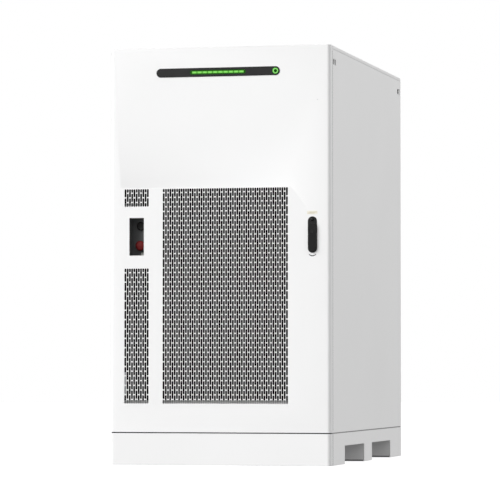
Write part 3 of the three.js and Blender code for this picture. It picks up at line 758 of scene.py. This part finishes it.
def make_status_bar():
    """Smoked bar with a head that lies on the door, and the dark green lens in it, whose faint glow is a
    painted halo of light from the segments.
    """
    bar, button, ring = Span("status_bar_bezel"), Span("power_button"), Span("power_button_ring")
    node = ["status_bar_bezel"]
    cuts = [segment_outline(x, bar.z, 0.0, 0.7) for x in segment_places()]
    loops = [lens_outline(LED_GAP), *cuts]
    plate_piece("led_lens", loops, bar.y0 + 0.05, bar.y1, LENS_HALO, "door", "dark_green", node, 0.15)

    cuts = [lens_outline(0.0), circle(button.x, bar.z, ring.wide / 2 + 0.2, 40)]
    shoulder, head_back, overlap = 1.8, -0.3, 0.05
    head = stadium(bar.x, bar.z, bar.wide, bar.tall, 16)
    body = stadium(bar.x, bar.z, bar.wide - 2 * shoulder, bar.tall - 2 * shoulder, 16)
    bm = bmesh.new()
    add_prism(bm, "y", [head, *cuts], bar.y0, head_back)
    add_prism(bm, "y", [body, *cuts], head_back - overlap, bar.y1)
    finish_piece("status_bar", bm, BAR_BLACK, "door", "status_bar_black", node, 0.25)


def make_lit_segments():
    """The bar of the light guide behind the lens, and the segments that reach forwards from it."""
    bar, guide = Span("status_bar_bezel"), Span("led_light_guide")
    node = ["led_light_guide"]
    bm = bmesh.new()
    add_box(bm, guide.x0, guide.x1, bar.y1 + 0.3, guide.y1, guide.z0, guide.z1)
    finish_piece("light_guide_back", bm, DARK_GREEN, "door", "dark_green", node, 0.3)
    y0, y1 = bar.y0 + 0.35, bar.y1 + 0.4
    for k, x in enumerate(segment_places(), 1):
        outline = segment_outline(x, bar.z, LED_GAP, 0.6)
        plate_piece(f"led_segment_{k}", [outline], y0, y1, LIT_GREEN, "door", "lit_green", node, 0.3)


def make_power_button():
    """Dark cap in a glowing ring, with a dark green rim round the ring whose dim glow is a painted halo
    of the ring's light.
    """
    bar, button, ring = Span("status_bar_bezel"), Span("power_button"), Span("power_button_ring")
    node = ["power_button_ring"]
    x, z, face = button.x, bar.z, bar.y0
    crown, edge = face - 0.35, face - 0.1
    inner, outer = GLOW_RADIUS, ring.wide / 2
    profile = [(inner, ring.y1), (inner, edge), (outer - 0.3, crown), (outer, face), (outer, ring.y1)]
    profile.append(profile[0])
    # painted glow: the rim's dim green emission stands for the halo of light round the ring
    turned_piece("power_button_halo_rim", x, z, profile, 48, DARK_GREEN, "door", "dark_green", node)

    dot = button.wide / 2
    inner, outer, back = dot + 1.0, GLOW_RADIUS - 0.1, face + 3
    profile = [(inner, back), (inner, edge), (inner + 0.8, crown), (outer - 0.7, crown), (outer, face)]
    profile += [(outer, back), profile[0]]
    turned_piece("power_button_glow", x, z, profile, 48, RING_GREEN, "door", "lit_green", node)

    front = button.y0
    profile = [(0, front + 0.25), (dot * 0.6, front + 0.15), (dot - 0.4, front), (dot, front + 0.35)]
    profile += [(dot, button.y1), (0, button.y1)]
    node = ["power_button"]
    turned_piece("power_button_cap", x, z, profile, 40, DARK_GREEN, "power_button", "dark_green", node)


def make_handle():
    """Swing handle: a crowned lever with its button and key lock, in a shallow escutcheon."""
    button, key = Span("release_button"), Span("key_cylinder")
    refined("handle_base", BLACK, "black_plastic", 0.5, 3)
    refined("handle_lever", HANDLE, "black_plastic", 2.2, 5)
    refined("handle_hub", BLACK, "black_plastic", 0.5)

    r, front, node = button.wide / 2, button.y0, "release_button"
    dome = [(0, front), (r * 0.5, front + 0.2), (r * 0.85, front + 0.7), (r, front + 1.4)]
    dome += [(r, button.y1), (0, button.y1)]
    turned_piece(node + "_cap", button.x, button.z, dome, 32, HANDLE, node, "black_plastic", [node])

    half_wide, half_tall = 0.55, 2.6
    keyway = rectangle(key.x - half_wide, key.x + half_wide, key.z - half_tall, key.z + half_tall)
    barrel = circle(key.x, key.z, key.wide / 2, 32)
    front, bottom, node = key.y0 + 0.2, key.y0 + 2.2, "key_cylinder"
    bm = bmesh.new()
    add_prism(bm, "y", [barrel, keyway], front, bottom)
    add_prism(bm, "y", [barrel], bottom, key.y1)
    finish_piece("key_barrel", bm, KEY_METAL, node, "key_metal", [node], 0.2)


def make_handle_surround():
    """Black plate behind the crescent cut under the handle, which shows as painted shade of the finger
    dish's lip, and the plain label with two strokes over it.
    """
    base = Span("handle_base")
    half, gap = 11.5, 0.8
    dish = rectangle(base.x - half, base.x + half, base.z0 - half, base.z0 - gap, 3)
    y0, y1 = SHEET + 0.1, SHEET + 1.2
    # painted shade: this black plate shows through the crescent cut as the shade of the dish's lip
    plate_piece("finger_dish_shade_plate", [dish], y0, y1, BLACK, "door", "black_plastic", bevel=0.2)

    left, low, wide, tall = base.x - 14.5, base.z1 + 5.8, 28.0, 9.2
    outline = rectangle(left, left + wide, low, low + tall, 1.6)
    plate_piece("plain_label", [outline], -0.3, -0.02, LABEL, "door", "control_grey")
    bm = bmesh.new()
    for row, (start, end) in enumerate(((1.5, 20.5), (6.5, 26.5))):
        z = low + 2.5 + 2.6 * row
        add_prism(bm, "y", [rectangle(left + start, left + end, z, z + 0.9, 0.3)], -0.42, -0.28)
    finish_piece("plain_label_stripes", bm, STRIPE, "door", "control_grey")


def make_door_fittings():
    """Window bezel, gasket with its outer lip, and the metal of the lock and the hinges."""
    door, gasket = Span("door_panel"), Span("door_gasket")
    refined("window_bezel", BEZEL, "black_plastic", 0.5)
    refined("door_gasket", RUBBER, "gasket_rubber", 1.4, 3)
    lip = rectangle(gasket.x1 + 0.4, door.x1 - 0.1, door.y1 + 0.15, door.y1 + 2.8)
    bm = bmesh.new()
    add_prism(bm, "z", [lip], gasket.z0, gasket.z1)
    finish_piece("door_seal_lip", bm, RUBBER, "door", "gasket_rubber")
    refined("lock_channel", ZINC, "zinc_plate", 0.4)
    refined("lock_cam", ZINC, "zinc_plate", 0.3)
    for end in ("upper", "lower"):
        refined(f"lock_rod_{end}", ZINC, "zinc_plate", 0.5)
        refined(f"hinge_door_leaf_{end}", ZINC, "zinc_plate", 0.35)
        refined(f"hinge_fixed_leaf_{end}", ZINC, "zinc_plate", 0.35)
        refined(f"hinge_pin_{end}", ZINC, "zinc_plate", 0.5)


def make_shade_dust_pads():
    """Dark pads of foam behind the slots, one for each field: dust filters, and their near-black is
    painted shade of the cabinet's inside, seen through the slots.
    """
    for number, (first, columns, pitch, low, high, _) in enumerate(BLOCKS, 1):
        x0, x1 = first - PAD_MARGIN, first + (columns - 1) * pitch + PAD_MARGIN
        pad = rectangle(x0, x1, low + PAD_CLEAR, high + PAD_TOP, 1.5)
        plate_piece(f"shade_dust_pad_{number}", [pad], *PAD_Y, SHADE_FOAM, "door", "gasket_rubber", bevel=0.4)


make_status_bar()
make_lit_segments()
make_power_button()
make_handle()
make_handle_surround()
make_door_fittings()
make_shade_dust_pads()


# ---------------------------------------------------------------- cabinet sheet metal


SEAL_UNDER, SEAL_OVER = 0.25, 0.3  # gaps under and over the seals on the plinth


def mirrored(start, end):
    """A stretch of x at the left of the cabinet, and the same one at the right."""
    wide = Span("top_cover").x1
    return (start, end), (wide - end, wide - start)


def make_plinth_gap_shade_seal():
    """Rubber between the door and the plinth, and in the upright gaps at the plinth's front corners; its
    black is painted shade in these gaps.
    """
    plinth, door, front = Span("plinth_side_right"), Span("door_panel"), Span("plinth_front_panel")
    inset, proud = 4.0, 0.1
    z0, z1 = plinth.z1 + SEAL_UNDER, door.z0 - SEAL_OVER
    bm = bmesh.new()
    add_box(bm, inset, door.x1 - inset, 2.2, plinth.y0 - 1.0, z0, z1)
    for x0, x1 in mirrored(proud, 2.2):
        add_box(bm, x0, x1, front.y1 + proud, plinth.y0 - proud, 0.6, plinth.z1 - 0.4)
    # painted shade: the black of this rubber stands for the shade in the gaps
    finish_piece("plinth_gap_shade_seal", bm, RUBBER, "cabinet", "gasket_rubber")


def make_base_gap_shade_seal():
    """Grey seal between the plinth and the panels, along both sides and the back; its grey is painted
    shade in the gap.
    """
    plinth, side = Span("plinth_side_right"), Span("side_panel_right")
    inner, back = 5.8, Span("rear_panel").y1 - 0.7
    z0, z1 = plinth.z1 + SEAL_UNDER, side.z0 - SEAL_OVER
    bm = bmesh.new()
    for x0, x1 in mirrored(0.7, inner - 0.2):
        add_box(bm, x0, x1, plinth.y0 + 0.4, back, z0, z1)
    add_box(bm, inner, side.x1 - inner, back - 4.3, back, z0, z1)
    finish_piece("base_gap_shade_seal", bm, GAP_SHADE_SEAL, "cabinet", "gasket_rubber")


def make_cover_gap_shade_seal():
    """Felt between the side panels and the top cover; its grey is painted shade in the gap."""
    side, cover = Span("side_panel_right"), Span("top_cover")
    inset, gap = 0.5, 0.1
    bm = bmesh.new()
    for x0, x1 in mirrored(inset, 5.0):
        add_box(bm, x0, x1, side.y0 + inset, side.y1 - inset, side.z1 + gap, cover.z0 - gap)
    finish_piece("cover_gap_shade_seal", bm, GAP_SHADE_FELT, "cabinet", "gasket_rubber")


def make_tunnel_contact_shade(end):
    """A grey strip along the bottom of a fork tunnel's back wall: painted contact shadow where the wall
    meets the floor.
    """
    tunnel = Span(f"fork_tunnel_{end}")
    x0, x1 = tunnel.x0 + 1, tunnel.x1 - 1
    y0, y1 = tunnel.y1 - 3.9, tunnel.y1 - 2.1
    bm = bmesh.new()
    add_box(bm, x0, x1, y0, y1, 0.5, 4.2)
    # painted shadow: the strip's grey stands for the contact shadow at the foot of the wall
    finish_piece(f"tunnel_contact_shade_{end}", bm, CONTROL, "cabinet", "white_powder_coat", bevel=0.3)


def make_side_latch(end, side):
    """Slide of a side panel's lock: a catch whose colour is painted shade of the recess, black at the
    front latches and grey at the rear ones, and a light thumb plate, almost flush.
    """
    node = f"side_latch_{end}_{side}"
    latch = Span(node)
    body = frame["nodes"][node]["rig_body"]
    x0 = latch.x0 - (LATCH_PROUD if side == "left" else 0)
    x1 = latch.x1 + (LATCH_PROUD if side == "right" else 0)
    z0, z1 = latch.z0 + 0.2, latch.z1 - 0.2
    split = latch.y0 + LATCH_SHADE_CATCH[end]
    # painted shade: the catch is black at the front latches and grey at the rear ones, standing for the
    # shade in the recess
    shade_catch = BLACK if end == "front" else CONTROL
    parts = (("shade_catch", latch.y0, split, shade_catch), ("thumb_plate", split + 0.2, latch.y1, WHITE))
    for name, y0, y1, material in parts:
        bm = bmesh.new()
        add_box(bm, x0, x1, y0, y1, z0, z1)
        finish_piece(f"{node}_{name}", bm, material, body, "white_powder_coat", [node], 0.3)


def make_enclosure():
    """Plinth, frame, rack sides and panels, with the seals between them and the latches in the sides."""
    make_plinth_gap_shade_seal()
    make_base_gap_shade_seal()
    make_cover_gap_shade_seal()
    for end in ("front", "rear"):
        make_tunnel_contact_shade(end)
    for side in ("left", "right"):
        refined(f"plinth_side_{side}", WHITE, "white_powder_coat", 0.6)
        refined(f"side_panel_{side}", WHITE, "white_powder_coat", 0.7)
        refined(f"rack_side_{side}", INNER_WHITE, "inner_frame_paint", 0.4)
        for end in ("front", "rear"):
            refined(f"post_{end}_{side}", INNER_WHITE, "inner_frame_paint", 0.5)
            make_side_latch(end, side)
    for end in ("front", "rear"):
        refined(f"fork_tunnel_{end}", WHITE, "white_powder_coat", 0.5)
        refined(f"plinth_{end}_panel", WHITE, "white_powder_coat", 0.6)
    refined("floor_pan", INNER_WHITE, "inner_frame_paint", 0.5)
    refined("roof_frame", INNER_WHITE, "inner_frame_paint", 0.5)
    refined("front_sill", INNER_WHITE, "inner_frame_paint", 0.4)
    refined("top_cover", WHITE, "white_powder_coat", 0.7)
    refined("rear_panel", WHITE, "white_powder_coat", 0.7)


make_enclosure()


# ---------------------------------------------------------------- control box and its controls


def make_controls():
    """Control box and main breaker, with the black start button and the emergency stop's red head."""
    refined("control_box", CONTROL, "control_grey", 1.0)
    refined("main_breaker", BLACK, "black_plastic", 0.8)
    refined("breaker_toggle", BLACK, "black_plastic", 0.8)

    start, node = Span("start_button"), "start_button"
    r, front, skirt, neck = start.wide / 2, start.y0, start.y0 + 6, start.wide / 2 - 2
    cap = [(0, front + 0.5), (r * 0.55, front + 0.3), (r * 0.86, front), (r, front + 1.2)]
    cap += [(r, skirt), (neck, skirt), (neck, start.y1), (0, start.y1)]
    turned_piece(node + "_cap", start.x, start.z, cap, 40, BLACK, node, "black_plastic", [node])

    stop, node = Span("emergency_stop"), "emergency_stop"
    r, front, rise, neck = stop.wide / 2, stop.y0, 6.0, 8.0
    angles = [math.radians(a) for a in range(0, 90, 10)]
    head = [(r * math.sin(a), front + rise * (1 - math.cos(a))) for a in angles]
    head += [(r, front + 6.4), (r - 0.5, front + 8.2), (r - 2, front + 9), (neck, front + 9)]
    head += [(neck, stop.y1), (0, stop.y1)]
    turned_piece(node + "_head", stop.x, stop.z, head, 48, RED, node, "signal_red", [node])


def make_legend_plate():
    """Plain plate on the control box, below the emergency stop."""
    window, back = Span("window_bezel"), Span("control_box").y0
    plate = rectangle(window.x - 1, window.x + 17, window.z0 + 2, window.z0 + 12, 1)
    y0, y1 = back - 0.8, back - 0.05
    plate_piece("legend_plate", [plate], y0, y1, LEGEND, "cabinet", "control_grey", bevel=0.2)


make_controls()
make_legend_plate()


# ---------------------------------------------------------------- battery modules

MODULES = 4
MODULE_FACE = 14.0  # depth of the faceplate behind the front of the module
CASE_WIDE = 446.0
PLATE = 2.6
EAR_MIDDLE = 9.0  # from the side of the faceplate
EAR_LOW = 16.0  # height of the lowest slot and screw in the ears
TOP_ROW = 40.0  # from the top of the faceplate down to the sockets and the interface


def make_faceplate(node, module, face):
    """Faceplate with mounting slots in its ears and three rows of slots for air."""
    ear_pitch, air_pitch, row_pitch, columns = 47, 10, 22, 22
    first, lowest = module.x - 105, module.z0 + 26
    cuts = []
    for side in (-1, 1):
        x = module.x + side * (module.wide / 2 - EAR_MIDDLE)
        cuts += [stadium(x, module.z0 + EAR_LOW + k * ear_pitch, 10, 6.5, 5) for k in range(4)]
    for row in range(3):
        z = lowest + row * row_pitch
        cuts += [stadium(first + k * air_pitch, z, 4, 17, 4) for k in range(columns)]
    loops = [rectangle(module.x0, module.x1, module.z0, module.z1, 1.5), *cuts]
    look = (MODULE, "cabinet", "module_black", [node], 0.35)
    plate_piece(node + "_faceplate", loops, face, face + PLATE, *look)


def make_grips(node, module, face):
    """Two bent bars to pull the module by."""
    radius, bend, reach, from_side, from_end = 3.6, 3.2, 10, 40, 50
    low = module.z0 + from_end
    curve = arc(face - reach + bend, low + bend, bend, -90, -180, 3)
    bm = bmesh.new()
    for side in (-1, 1):
        x = module.x + side * (module.wide / 2 - from_side)
        lower = [(x, y, z) for y, z in [(face + 1, low), *curve]]
        upper = [(x, y, 2 * module.z - z) for x, y, z in reversed(lower)]
        add_tube(bm, lower + upper, radius, 12)
    finish_piece(node + "_grips", bm, BLACK, "cabinet", "module_black", [node])


def make_module_screws(node, module, face):
    """Large screws in the ears, and small ones near the top and bottom of the faceplate."""
    ear, inner, large, small, from_end = module.wide / 2 - EAR_MIDDLE, 150, 4.0, 2.2, 8
    bm = bmesh.new()
    for side in (-1, 1):
        for z in (module.z0 + EAR_LOW, module.z1 - 12):
            add_screw(bm, module.x + side * ear, z, face, large)
        for z in (module.z0 + from_end, module.z1 - from_end):
            add_screw(bm, module.x + side * inner, z, face, small)
    finish_piece(node + "_screws", bm, STEEL, "cabinet", "zinc_plate", [node])


def make_sockets(node, module, face):
    """A power socket on a square flange at either side of the interface."""
    z, half, offset = module.z1 - TOP_ROW, 17, 120
    body = [(0, -10), (9, -10), (11, -8.5), (11, -2), (0, -2)]
    for label, side, material in (("negative", -1, BLACK), ("positive", 1, CONTROL)):
        x = module.x + side * offset
        bm = bmesh.new()
        add_prism(bm, "y", [rectangle(x - half, x + half, z - half, z + half, 4)], face - 3, face + 0.5)
        add_lathe(bm, x, z, [(r, face + w) for r, w in body], 28)
        finish_piece(f"{node}_socket_{label}", bm, material, "cabinet", "module_black", [node], 0.6)


def make_interface(node, module, face):
    """Plate with three ports and four small lamps."""
    x, z = module.x, module.z1 - TOP_ROW
    half_wide, half_tall, port, port_pitch, lamp_pitch = 48, 13, 12, 17, 8
    loops = [rectangle(x - half_wide, x + half_wide, z - half_tall, z + half_tall, 2)]
    for k in range(3):
        left = x - 40 + k * port_pitch
        loops.append(rectangle(left, left + port, z - 6, z + 4, 0.6))
    look = (CONTROL, "cabinet", "control_grey", [node], 0.3)
    plate_piece(node + "_interface", loops, face - 1.6, face + 0.3, *look)
    bead = [(0, -2.2), (1.1, -2.0), (1.5, -1.5), (0, -1.4)]
    bm = bmesh.new()
    for k in range(4):
        add_lathe(bm, x + 16 + k * lamp_pitch, z, [(r, face + w) for r, w in bead], 14)
    finish_piece(node + "_leds", bm, DARK_GREEN, "cabinet", "dark_green", [node])


def make_module(node):
    """A module's case, with everything on its front."""
    module = Span(node)
    face = module.y0 + MODULE_FACE
    margin = (module.wide - CASE_WIDE) / 2
    bm = bmesh.new()
    add_box(bm, module.x0 + margin, module.x1 - margin, face + 3, module.y1, module.z0, module.z1)
    finish_piece(node + "_case", bm, MODULE, "cabinet", "module_black", [node], 1.0)
    for make in (make_faceplate, make_grips, make_module_screws, make_sockets, make_interface):
        make(node, module, face)


for number in range(1, MODULES + 1):
    make_module(f"battery_module_{number}")


# ---------------------------------------------------------------- back of the cabinet

BLADES = 7
HUB = 21.0
TIP = 53.0
BLADE_THICK = 1.4
ROOT_PITCH, TIP_PITCH = 42, 26  # degrees between the blade and the plane of the fan
ROOT_CHORD, TIP_CHORD = 20, 28
CAMBER = 2.2


def blade_face(rotor, blade, shift):
    """One face of a twisted blade: rows of points across it, from inside the hub to the tip."""
    rows, columns, root = 5, 6, HUB - 1
    face = []
    for i in range(rows + 1):
        out = i / rows
        r = root + (TIP - root) * out
        pitch = math.radians(ROOT_PITCH + (TIP_PITCH - ROOT_PITCH) * out)
        row = []
        for j in range(columns + 1):
            chord = (j / columns - 0.5) * (ROOT_CHORD + (TIP_CHORD - ROOT_CHORD) * out)
            camber = CAMBER * math.sin(math.pi * j / columns)
            turn = 2 * math.pi * blade / BLADES + (chord * math.cos(pitch) + camber * 0.4) / r
            y = rotor.y + chord * math.sin(pitch) - camber + shift
            row.append((rotor.x + r * math.cos(turn), y, rotor.z + r * math.sin(turn)))
        face.append(row)
    return face


def add_slab(bm, front, back):
    """Solid between two grids of points of one size."""
    f, g = ([[bm.verts.new(point) for point in row] for row in grid] for grid in (front, back))
    m, n = len(front) - 1, len(front[0]) - 1
    for face in (f, g):
        for i in range(m):
            for j in range(n):
                bm.faces.new([face[i][j], face[i + 1][j], face[i + 1][j + 1], face[i][j + 1]])
    border = [(i, 0) for i in range(m)] + [(m, j) for j in range(n)]
    border += [(i, n) for i in range(m, 0, -1)] + [(0, j) for j in range(n, 0, -1)]
    for (i, j), (p, q) in zip(border, [*border[1:], border[0]]):
        bm.faces.new([f[i][j], f[p][q], g[p][q], g[i][j]])


def make_rotor(side, rotor):
    """Hub with round edges, and its twisted blades."""
    node = f"fan_rotor_{side}"
    y0, y1, edge = rotor.y0, rotor.y1, 2.0
    profile = [(0, y0), (HUB - edge, y0), (HUB, y0 + edge), (HUB, y1 - edge), (HUB - edge, y1), (0, y1)]
    bm = bmesh.new()
    add_lathe(bm, rotor.x, rotor.z, profile, 40)
    for blade in range(BLADES):
        add_slab(bm, *(blade_face(rotor, blade, shift) for shift in (-BLADE_THICK / 2, BLADE_THICK / 2)))
    finish_piece(node + "_bladed", bm, BLACK, node, "black_plastic", [node])


def make_guard(side, rotor):
    """Wire guard of a fan: five rings on four spokes."""
    wire, y = 0.9, Span("rear_panel").y1 - 2.2
    smallest, largest, pitch = 14, 50, 9
    bm = bmesh.new()
    for radius in range(smallest, largest + 1, pitch):
        ring = [(u, y, v) for u, v in circle(rotor.x, rotor.z, radius, 48)]
        add_tube(bm, ring, wire, 8, closed=True)
    for k in range(4):
        a = math.radians(45 + 90 * k)
        spoke = [(rotor.x + r * math.cos(a), y + 1.2, rotor.z + r * math.sin(a)) for r in (10, 56.4)]
        add_tube(bm, spoke, wire, 8)
    finish_piece(f"fan_guard_{side}", bm, ZINC, "cabinet", "zinc_plate")


def make_back():
    """Busbars, and the fans with their guards."""
    for pole in ("negative", "positive"):
        refined(f"busbar_{pole}", COPPER, "busbar_copper", 0.6)
    for side in ("left", "right"):
        rotor = Span(f"fan_rotor_{side}")
        refined(f"fan_frame_{side}", BLACK, "black_plastic", 0.5)
        make_rotor(side, rotor)
        make_guard(side, rotor)


make_back()
